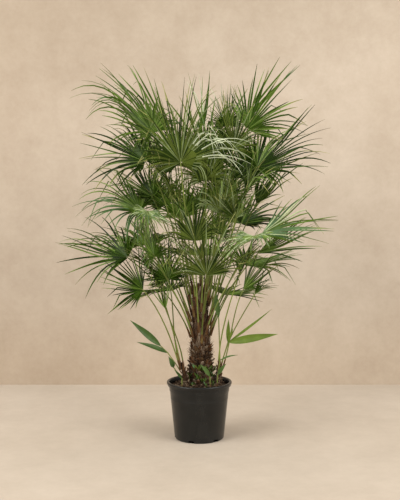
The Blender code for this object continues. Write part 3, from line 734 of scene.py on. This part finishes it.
def stalk(name, points, radii, sides_level, finishes, foot_height):
    """A tapering round stalk on a smooth curve; its foot takes the second finish."""
    deselect()
    bpy.ops.curve.primitive_bezier_curve_add(location=(0.0, 0.0, 0.0))
    piece = bpy.context.object
    piece.name = name
    spline = piece.data.splines[0]
    spline.bezier_points.add(len(points) - 2)
    for knot, (place, left, right), radius in zip(spline.bezier_points, points, radii):
        knot.handle_left_type = knot.handle_right_type = "FREE"
        knot.co, knot.handle_left, knot.handle_right = place, left, right
        knot.radius = radius / radii[0]
    piece.data.resolution_u = 7
    piece.data.bevel_depth = radii[0]
    piece.data.bevel_resolution = sides_level
    piece.data.use_fill_caps = True
    bpy.ops.object.convert(target="MESH")
    piece = bpy.context.object
    edit_all()
    bpy.ops.mesh.remove_doubles(threshold=0.00002)
    bpy.ops.mesh.normals_make_consistent(inside=False)
    object_mode()
    piece.data.materials.clear()
    for made in finishes:
        piece.data.materials.append(made)
    for face in piece.data.polygons:
        face.material_index = 1 if face.center.z < foot_height else 0
    smooth(piece)
    return piece


def stem_point(name, height):
    """Middle of a stem at a height."""
    (x, y), top, _ = STEMS[name]
    share = min(max((height - SOIL_TOP) / (top[2] - SOIL_TOP), 0.0), 1.0)
    return Vector((x + (top[0] - x) * share**2, y + (top[1] - y) * share**2, height))


def stem_radius(name, height):
    _, top, radii = STEMS[name]
    share = (height - SOIL_TOP) / (top[2] - SOIL_TOP) * (len(radii) - 1)
    i = min(max(int(share), 0), len(radii) - 2)
    return radii[i] + (radii[i + 1] - radii[i]) * (share - i)


def node_foot(node):
    """Middle of the lowest ring of a node's solid, where its stalk leaves the stem."""
    points = [vertex.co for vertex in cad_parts[node].data.vertices]
    lowest = min(point.z for point in points)
    ring = {tuple(round(c, 5) for c in point) for point in points if point.z < lowest + 0.008}
    return sum((Vector(point) for point in ring), Vector()) / len(ring)


def petiole(name, stem_name, foot, frond, green):
    hub, heading, rise, roll, _, _ = frond
    along, _, face = blade_frame(heading, rise, roll)
    axis = stem_point(stem_name, foot.z)
    out = Vector((foot.x - axis.x, foot.y - axis.y, 0.0)).normalized()
    leave = out * math.cos(PETIOLE_STEEP) + UP * math.sin(PETIOLE_STEEP)
    chord = hub - foot
    arrive = (chord.normalized() + along * 0.5).normalized()
    first = foot + leave * chord.length * 0.35
    last = hub - arrive * chord.length * 0.3
    # The curve is parted at the end of the sheath, so that it can narrow there
    a, b, c = foot.lerp(first, SHEATH), first.lerp(last, SHEATH), last.lerp(hub, SHEATH)
    d, e = a.lerp(b, SHEATH), b.lerp(c, SHEATH)
    parting = d.lerp(e, SHEATH)
    rib = hub + (along * math.cos(CUP) + face * math.sin(CUP)) * 0.02
    points = (
        (foot, foot, a),
        (parting, d, e),
        (hub, c, hub.lerp(rib, 0.3)),
        (rib, rib.lerp(hub, 0.3), rib),
    )
    foot_radius = PETIOLE_FOOT if stem_name == "trunk" else SUCKER_PETIOLE_FOOT
    radii = (foot_radius, PETIOLE_MIDDLE, PETIOLE_HUB, PETIOLE_HUB * 0.4)
    return stalk(name, points, radii, 1, (green, STALK_FOOT), foot.z + SHEATH_TALL)


# Tones of a frond's upper side and of its under side: at the hub, a darker tone as painted shade, then
# commonest first, tip and hanging; the pale and silver tones are painted highlights, the silver one partly
# the whitish green of hanging leaflets
TONES = {
    "dark": ("deep dark deep fresh tip silver", "shade olive shade grey tip silver"),
    "deep": ("deep deep dark mid mid silver", "shade shade olive grey tip silver"),
    "mid": ("deep mid dark fresh tip silver", "shade olive shade grey tip silver"),
    "blue": ("deep blue mid pale fresh silver", "shade grey olive grey tip silver"),
    "mixed": ("deep mid dark fresh blue silver", "shade olive grey grey grey silver"),
    "pale": ("mid fresh pale blue tip silver", "olive grey grey pale tip silver"),
}
TONE_OF = {
    "top_left": "mixed", "top_left_back": "mid", "upper_left": "dark", "middle_left": "mixed",
    "lower_left": "dark", "lowest_left": "deep", "front_top": "mid", "front_upper": "dark",
    "right": "blue", "front_right_low": "pale", "front_left_middle": "pale", "front_low": "mid",
    "upper_right": "dark", "top_right": "mid", "lower_right": "mid",
}
OTHER_TONES = ("mid", "mid", "mixed", "dark")

PATTERN = leaflet_pattern()


def make_fronds():
    for number, (name, hub, heading, rise, roll, reach, span, droop) in enumerate(FRONDS):
        node = "frond_" + name
        stem_name = next((stem for stem, fronds in SUCKER_FRONDS.items() if name in fronds), "trunk")
        rng = random.Random(node)
        frond = (Vector(hub), heading, rise, roll, reach, droop)
        tone = TONE_OF.get(name, OTHER_TONES[number % len(OTHER_TONES)])
        finishes = [LEAF[shade] for shade in " ".join(TONES[tone]).split()]
        fan = blade(name, number, frond, span, finishes, rng)
        green = STALK_DARK if number % 3 == 1 else STALK
        stem = petiole(name + "_petiole", stem_name, node_foot(node), frond, green)
        put_on(join(node + "_fan", [fan, stem]), node)
    bpy.data.objects.remove(PATTERN)


def broad_leaf(name, foot, tip, width, arch, tilt, made_of):
    """A lance-shaped leaf, pulled out row by row and folded a little along its middle."""
    tip, tilt = Vector(tip), math.radians(tilt)
    side = (tip - foot).cross(Vector((0.0, -math.sin(tilt), math.cos(tilt)))).normalized()
    rise = side.cross(tip - foot).normalized()
    deselect()
    bpy.ops.mesh.primitive_grid_add(x_subdivisions=4, y_subdivisions=12, size=2.0)
    piece = bpy.context.object
    piece.name = name
    for vertex in piece.data.vertices:
        across, share = vertex.co.x, (vertex.co.y + 1) / 2
        half = max(width / 2 * math.sin(math.pi * share**0.75), STALK_RADIUS * 0.4 * (1.05 - share))
        middle = foot.lerp(tip, share) + rise * arch * 4 * share * (1 - share)
        vertex.co = middle + side * half * across + rise * half * 0.35 * abs(across)
    piece.data.materials.append(made_of)
    thicken(piece, BLADE_THICK)
    apply_modifiers(piece)
    smooth(piece, 60)
    return piece


YOUNG_FINISH = {"young_left": YOUNG_DARK, "young_foot_left": YOUNG_DARK, "young_right": YOUNG_LEAF}


def make_young():
    for name, (joint, leaves) in YOUNG.items():
        joint, start = Vector(joint), node_foot(name)
        made_of = YOUNG_FINISH.get(name, YOUNG_LOW)
        points = [
            (start, start, start.lerp(joint, 0.3) + UP * 0.01),
            (joint, joint.lerp(start, 0.25), joint),
        ]
        feet = [Vector(leaf[0] or joint) for leaf in leaves]
        reach = max(feet, key=lambda end: end.z)
        if reach.z > joint.z + 0.001:
            points.append((reach, reach.lerp(joint, 0.3), reach))
        radii = [STALK_RADIUS] * len(points)
        pieces = [stalk(name + "_stalk", points, radii, 1, (STALK, STALK_FOOT), start.z + 0.02)]
        for i, (foot, leaf) in enumerate(zip(feet, leaves)):
            pieces.append(broad_leaf(f"{name}_leaf_{i + 1}", foot, *leaf[1:], made_of))
        put_on(join(name + "_leaves", pieces), name)


# Trunk and suckers


def lumpy(piece, size, depth):
    """Raises lumps and hollows of a size on a piece."""
    texture = bpy.data.textures.new(piece.name + "_lumps", "CLOUDS")
    texture.noise_scale = size
    texture.noise_depth = 3
    lumps = piece.modifiers.new("lumps", "DISPLACE")
    lumps.texture = texture
    lumps.strength = depth
    lumps.mid_level = 0.6
    apply_modifiers(piece)


def stem_core(name, ring_count, sides):
    """The stem's own round, lumpy body, a little inside the fibres and stubs that clothe it."""
    top = STEMS[name][1][2]
    rings = []
    for i in range(ring_count):
        height = SOIL_TOP + CLEAR + (top - SOIL_TOP - CLEAR) * i / (ring_count - 1)
        rings.append((stem_point(name, height), stem_radius(name, height) * CORE_SHARE))
    piece = ring_form(name + "_core", rings, sides)
    piece.data.materials.append(FIBRES[0])
    lumpy(piece, stem_radius(name, SOIL_TOP) * 0.4, stem_radius(name, SOIL_TOP) * 0.2)
    smooth(piece, 60)
    return piece


def stub_pattern():
    """The dry foot of an old petiole: a flat wedge, one unit high, broad below and torn off above."""
    deselect()
    bpy.ops.mesh.primitive_cube_add(size=2.0)
    stub = bpy.context.object
    bpy.ops.object.mode_set(mode="EDIT")
    bpy.ops.transform.resize(value=(1.0, 0.5, 0.15), center_override=(0.0, 0.0, 0.0))
    for step, wide, shift in ((0.30, 0.86, -0.10), (0.30, 0.76, -0.14), (0.25, 0.62, -0.22)):
        object_mode()
        top = max(vertex.co.z for vertex in stub.data.vertices)
        choose(stub, lambda co: co.z > top - 0.001)
        pull_out((0.0, shift, step), (wide, wide, 1.0), (0.0, 0.0, top + step))
    object_mode()
    return stub


def strand_pattern():
    """One coarse fibre, one unit high and three-sided."""
    deselect()
    bpy.ops.mesh.primitive_cone_add(vertices=3, radius1=1.0, radius2=0.25, depth=1.0, location=UP / 2)
    strand = bpy.context.object
    for height in (0.35, 0.7):
        edit_all()
        bpy.ops.mesh.bisect(plane_co=UP * height, plane_no=UP)
    object_mode()
    keep_place(strand)
    return strand


def stub_places(name, count, low, high, lean, tall, rng):
    """Places of old petiole feet, turned by the golden angle from one to the next up the stem."""
    places = []
    for i in range(count):
        share = (i + rng.uniform(-0.3, 0.3)) / count
        height = low + (high - low) * share
        out = outward(i * GOLDEN_ANGLE + rng.uniform(-0.3, 0.3))
        place = stem_point(name, height) + out * stem_radius(name, height) * CORE_SHARE
        up = UP + out * rng.uniform(*lean) + out.cross(UP) * rng.uniform(-0.15, 0.15)
        wide = stem_radius(name, height) * rng.uniform(0.12, 0.28)
        size = (wide, rng.uniform(0.004, 0.008), rng.uniform(*tall))
        places.append((frame_at(place, up, out, size), rng.choice((0, 0, 0, 1, 1, 2))))
    return places


def strand_places(name, count, low, high, long, spread, rng):
    """Places of loose fibres that stand off the stem in all directions."""
    places = []
    for _ in range(count):
        height = rng.uniform(low, high)
        out = outward(rng.uniform(0.0, math.tau))
        place = stem_point(name, height) + out * stem_radius(name, height) * rng.uniform(0.8, 1.0)
        up = UP * rng.choice((1.0, 1.0, -0.7)) + out * rng.uniform(0.0, spread)
        up += out.cross(UP) * rng.uniform(-0.6, 0.6)
        thick = rng.uniform(0.0004, 0.0011)
        size = (thick, thick, long * rng.uniform(0.4, 1.3))
        places.append((frame_at(place, up, out, size), rng.choice((0, 1, 2, 2))))
    return places


def weed_leaf_pattern():
    """A small leaf, one unit long, drawn out to a point and folded along its middle."""
    deselect()
    bpy.ops.mesh.primitive_grid_add(x_subdivisions=2, y_subdivisions=4, size=2.0)
    leaf = bpy.context.object
    for vertex in leaf.data.vertices:
        across, share = vertex.co.x, (vertex.co.y + 1) / 2
        half = 0.15 * math.sin(math.pi * (0.06 + 0.93 * share**0.8))
        vertex.co = (across * half, -0.25 * share**2 - 0.08 * abs(across), share)
    thicken(leaf, 0.02)
    apply_modifiers(leaf)
    return leaf


def weed_places(rng):
    """Places of the leaves of small weeds, a few on one foot, on the front of the trunk's foot."""
    places = []
    for _ in range(WEEDS):
        away, height = outward(rng.uniform(-2.9, -0.2)), SOIL_TOP + WEED_TALL * rng.random() ** 1.5
        foot = stem_point("trunk", height) + away * (stem_radius("trunk", height) + rng.uniform(0.0, 0.012))
        long = rng.uniform(0.014, 0.034)
        for _ in range(rng.choice((3, 4, 5))):
            out = outward(rng.uniform(0.0, math.tau))
            up = UP + out * rng.uniform(0.1, 0.7) + away * 0.2
            size = long * rng.uniform(0.6, 1.2)
            places.append((frame_at(foot, up, out, [size] * 3), rng.choice((0, 0, 1, 2))))
    return places


def clothed_stem(name, core, stub, stub_rows, strand, strand_rows, rng):
    """The parts of a stem: its body, its old petiole feet and its loose fibres."""
    stubs = [place for row in stub_rows for place in stub_places(name, *row, rng)]
    strands = [place for row in strand_rows for place in strand_places(name, *row, rng)]
    return [
        stem_core(name, *core),
        scatter(name + "_stubs", stub, stubs, FIBRES),
        scatter(name + "_strands", strand, strands, FIBRES),
    ]


def make_stems():
    rng = random.Random("stems")
    stub, strand, leaf = stub_pattern(), strand_pattern(), weed_leaf_pattern()
    trunk = clothed_stem("trunk", (44, 48), stub, TRUNK_STUBS, strand, TRUNK_STRANDS, rng)
    trunk.append(scatter("weeds", leaf, weed_places(rng), [LEAF[tone] for tone in WEED_TONES]))
    put_on(join("trunk_with_fibres", trunk), "trunk")
    for name in ("sucker_left", "sucker_right"):
        sucker = clothed_stem(name, (16, 20), stub, SUCKER_STUBS, strand, SUCKER_STRANDS, rng)
        put_on(join(name + "_with_fibres", sucker), name)
    for pattern in (stub, strand, leaf):
        bpy.data.objects.remove(pattern)


# Pot and soil


def make_pot():
    """The moulded shell, pulled up from its underside, over the rim and down to its floor."""
    slope = (NECK_RADIUS - FOOT_RADIUS) / NECK_HEIGHT
    wall = [(FOOT_RADIUS + slope * height + out, height) for height, out in POT_WALL]
    profile = (
        (FOOT_RADIUS - 0.005, 0.0),
        *wall,
        (NECK_RADIUS + 0.0015, RIM_UNDERSIDE),
        (RIM_RADIUS - 0.0035, RIM_UNDERSIDE),
        (RIM_RADIUS - 0.0025, POT_HEIGHT - 0.0115),
        (RIM_RADIUS, POT_HEIGHT - 0.0095),
        (RIM_RADIUS, POT_HEIGHT - 0.003),
        (RIM_RADIUS - 0.003, POT_HEIGHT),
        (RIM_INNER_RADIUS + 0.003, POT_HEIGHT),
        (RIM_INNER_RADIUS, POT_HEIGHT - 0.003),
        (INNER_NECK_RADIUS, NECK_HEIGHT - 0.002),
        (INNER_FOOT_RADIUS, POT_FLOOR),
    )
    pot = ring_form("pot_shell", [((0.0, 0.0, height), radius) for radius, height in profile], POT_SIDES)
    round_edges = pot.modifiers.new("round_edges", "BEVEL")
    round_edges.width = 0.0012
    round_edges.segments = 2
    round_edges.limit_method = "ANGLE"
    round_edges.angle_limit = math.radians(35)
    apply_modifiers(pot)
    cutters = []
    for i in range(NOTCHES):
        turn = FIRST_NOTCH + math.tau * i / NOTCHES
        deselect()
        bpy.ops.mesh.primitive_cube_add(
            size=1.0,
            location=(FOOT_RADIUS * math.sin(turn), -FOOT_RADIUS * math.cos(turn), 0.0),
            rotation=(0.0, 0.0, turn),
            scale=(NOTCH_WIDTH, 2 * NOTCH_DEPTH, 2 * NOTCH_HEIGHT),
        )
        cutter = bpy.context.object
        soften = cutter.modifiers.new("soften", "BEVEL")
        soften.width = 0.003
        soften.segments = 2
        apply_modifiers(cutter)
        cutters.append(cutter)
    cutter = join("notches", cutters)
    cut = pot.modifiers.new("notches", "BOOLEAN")
    cut.object = cutter
    apply_modifiers(pot)
    bpy.data.objects.remove(cutter)
    pot.data.materials.clear()
    for made in (PLASTIC, NOTCH_SHADE):
        pot.data.materials.append(made)
    # The inner faces of the notches take the near-black finish: painted shade
    for face in pot.data.polygons:
        low = 0.0005 < face.center.z < NOTCH_HEIGHT + 0.0005
        face.material_index = 1 if low and face.center.xy.length < FOOT_RADIUS - 0.002 else 0
    smooth(pot, 35)
    put_on(pot, "pot")


def chip_pattern():
    """A chip of bark: a flat block with one end drawn in and its edges broken."""
    deselect()
    bpy.ops.mesh.primitive_cube_add(size=2.0)
    chip = bpy.context.object
    choose(chip, lambda co: co.x > 0)
    bpy.ops.transform.resize(value=(1.0, 0.55, 0.5), center_override=(1.0, 0.2, 0.0))
    choose(chip, lambda co: co.y > 0.1 and co.z > 0)
    bpy.ops.transform.translate(value=(0.15, -0.2, -0.3))
    object_mode()
    return chip


def soil_height(radius, edge):
    if radius < MOUND_RADIUS:
        return SOIL_TOP
    return SOIL_TOP - (SOIL_TOP - SOIL_EDGE) * (radius - MOUND_RADIUS) / (edge - MOUND_RADIUS)


def chip_turn(rng, tip):
    """A random turn about the upright and a tip to one side."""
    return Matrix.Rotation(rng.uniform(0, math.tau), 4, "Z") @ Matrix.Rotation(rng.gauss(0, tip), 4, "X")


def chip_size(rng, longest):
    sides = (rng.uniform(0.003, longest), rng.uniform(0.002, 0.005), rng.uniform(0.001, 0.0025))
    return Matrix.Diagonal((*sides, 1))


def make_soil():
    rng = random.Random("soil")
    share = (SOIL_EDGE - POT_FLOOR) / (NECK_HEIGHT - POT_FLOOR)
    edge = INNER_FOOT_RADIUS + share * (INNER_NECK_RADIUS - INNER_FOOT_RADIUS) - 2 * CLEAR
    rings = [((0.0, 0.0, POT_FLOOR + CLEAR), INNER_FOOT_RADIUS - 2 * CLEAR), ((0.0, 0.0, SOIL_EDGE), edge)]
    for i in range(1, SOIL_RINGS):
        radius = edge * (1 - i / SOIL_RINGS)
        lump = 0.0015 * math.sin(i * 2.3)
        rings.append(((0.0, 0.0, soil_height(radius, edge) - 0.002 + lump), radius))
    bed = ring_form("soil_bed", rings, 72)
    bed.data.materials.append(PEAT)
    for vertex in bed.data.vertices:
        if vertex.co.z > SOIL_EDGE + 0.001:
            vertex.co.z += 0.005 * noise.fractal(vertex.co * 70, 0.9, 2.0, 3)
    smooth(bed, 60)
    chip = chip_pattern()
    places = []
    for _ in range(CHIPS):
        turn, radius = rng.uniform(0, math.tau), edge * 0.96 * math.sqrt(rng.random())
        height = soil_height(radius, edge) + rng.uniform(-0.001, 0.004)
        spin = chip_turn(rng, 0.4) @ Matrix.Rotation(rng.gauss(0, 0.35), 4, "Y")
        place = Matrix.Translation((radius * math.cos(turn), radius * math.sin(turn), height))
        places.append((place @ spin @ chip_size(rng, 0.010), rng.choice((0, 0, 0, 1, 1, 2))))
    for _ in range(LITTER):
        foot = rng.choice(("trunk", "trunk", "trunk", "sucker_left", "sucker_right"))
        out, close = outward(rng.uniform(0, math.tau)), rng.random()
        place = stem_point(foot, SOIL_TOP + LITTER_TALL * (1 - close) * rng.uniform(0.1, 1.0))
        place += out * stem_radius(foot, SOIL_TOP) * (0.75 + 0.55 * close)
        place = Matrix.Translation(place) @ chip_turn(rng, 0.9) @ chip_size(rng, 0.009)
        places.append((place, rng.choice((0, 1, 1, 2, 2))))
    chips = scatter("soil_chips", chip, places, BARK)
    bpy.data.objects.remove(chip)
    put_on(join("soil_with_chips", [bed, chips]), "soil")


# Studio

# Place, power in watts and aim of each light
LIGHTS = {
    "left_light": ((-3.4, -2.5, 2.6), 208.0, (0.0, 0.1, 0.6)),
    "right_light": ((3.4, -2.5, 2.5), 184.0, (0.1, 0.1, 0.5)),
}
LIGHT_WIDE = 3.6
CAMERA_PLACE = (0.0032, -4.0, 1.14)
CAMERA_DIP = math.radians(3.87)
CAMERA_LENS = 63.2


def wall_plane(name, location, rotation, wide, tall, made_of):
    deselect()
    bpy.ops.mesh.primitive_plane_add(size=1.0, location=location, rotation=rotation)
    plane = bpy.context.object
    plane.name = name
    plane.scale = (wide, tall, 1.0)
    keep_place(plane)
    plane.data.materials.append(made_of)


def plaster(name, dark, light, scale):
    """Lime plaster: broad soft clouds with finer ones in them."""
    made = finish(name, (dark, light), 0.95, scale=scale, bump=0.05, grain=30.0)
    drift = next(node for node in made.node_tree.nodes if node.bl_idname == "ShaderNodeTexNoise")
    drift.inputs["Detail"].default_value = 9.0
    drift.inputs["Roughness"].default_value = 0.80
    return made


def paint_shade_gradient(made, way, start, end, shade_tint):
    """Paints shade into a finish along a way: multiplies its colour by a darker tint, from the distance
    where that starts to the one where it is full.
    """
    along = add_node(made, "VectorMath", {1: way})
    along.operation = "DOT_PRODUCT"
    link(made, add_node(made, "TexCoord"), "Object", along, 0)
    fall = add_node(made, "MapRange", {"From Min": start, "From Max": end})
    fall.interpolation_type = "SMOOTHSTEP"
    link(made, along, "Value", fall, "Value")
    lay_over(made, shade_tint, fall.outputs["Result"], "MULTIPLY")


def see_through_from_behind(made):
    """Leaves out the back of the wall, so that the plant can be looked at from behind."""
    nodes = made.node_tree.nodes
    mix = add_node(made, "MixShader")
    link(made, add_node(made, "NewGeometry"), "Backfacing", mix, "Fac")
    link(made, nodes["Principled BSDF"], "BSDF", mix, 1)
    link(made, add_node(made, "BsdfTransparent"), "BSDF", mix, 2)
    link(made, mix, "Shader", nodes["Material Output"], "Surface")


def make_studio():
    wall = plaster("wall_plaster", (0.417, 0.347, 0.275), (0.520, 0.452, 0.374), 1.3)
    ground = plaster("floor_plaster", (0.522, 0.453, 0.374), (0.602, 0.530, 0.447), 2.2)
    # Painted shade on the wall: darker towards the left and towards the top, and a little darker and warmer
    # at its foot as a painted contact shadow with the floor
    paint_shade_gradient(wall, (-1.0, 0.0, 0.0), -1.2, 1.2, (0.91, 0.89, 0.87))
    paint_shade_gradient(wall, (-0.2, 0.0, 1.0), 1.5, 2.4, (0.85, 0.83, 0.80))
    paint_shade_gradient(wall, (0.0, 0.0, -1.0), -0.7, 0.0, (0.985, 0.95, 0.905))
    # Painted shade on the floor: darker from behind the pot towards the front
    paint_shade_gradient(ground, (0.0, -1.0, 0.0), -0.6, 0.1, (0.875, 0.865, 0.85))
    see_through_from_behind(wall)
    wall_plane("studio_floor", (0.0, -3.0, 0.0), (0.0, 0.0, 0.0), 14.0, 8.2, ground)
    wall_plane("studio_wall", (0.0, 1.1, 3.0), (math.radians(90), 0.0, 0.0), 14.0, 6.0, wall)
    world = bpy.data.worlds.new("studio")
    bpy.context.scene.world = world
    world.use_nodes = True
    sky = world.node_tree.nodes["Background"]
    sky.inputs["Color"].default_value = (1.0, 0.97, 0.93, 1.0)
    sky.inputs["Strength"].default_value = 0.71
    for name, (place, power, target) in LIGHTS.items():
        aim = (Vector(target) - Vector(place)).to_track_quat("-Z", "Y").to_euler()
        deselect()
        bpy.ops.object.light_add(type="AREA", location=place, rotation=aim)
        light = bpy.context.object
        light.name = name
        light.data.shape = "DISK"
        light.data.size = LIGHT_WIDE
        light.data.energy = power
        light.data.color = (1.0, 0.96, 0.90)


def make_camera():
    bpy.context.scene.view_settings.view_transform = "Standard"
    deselect()
    bpy.ops.object.camera_add(location=CAMERA_PLACE, rotation=(math.radians(90) - CAMERA_DIP, 0.0, 0.0))
    camera = bpy.context.object
    camera.data.lens = CAMERA_LENS
    bpy.context.scene.camera = camera


make_camera()
make_studio()
make_pot()
make_soil()
make_stems()
make_fronds()
make_young()
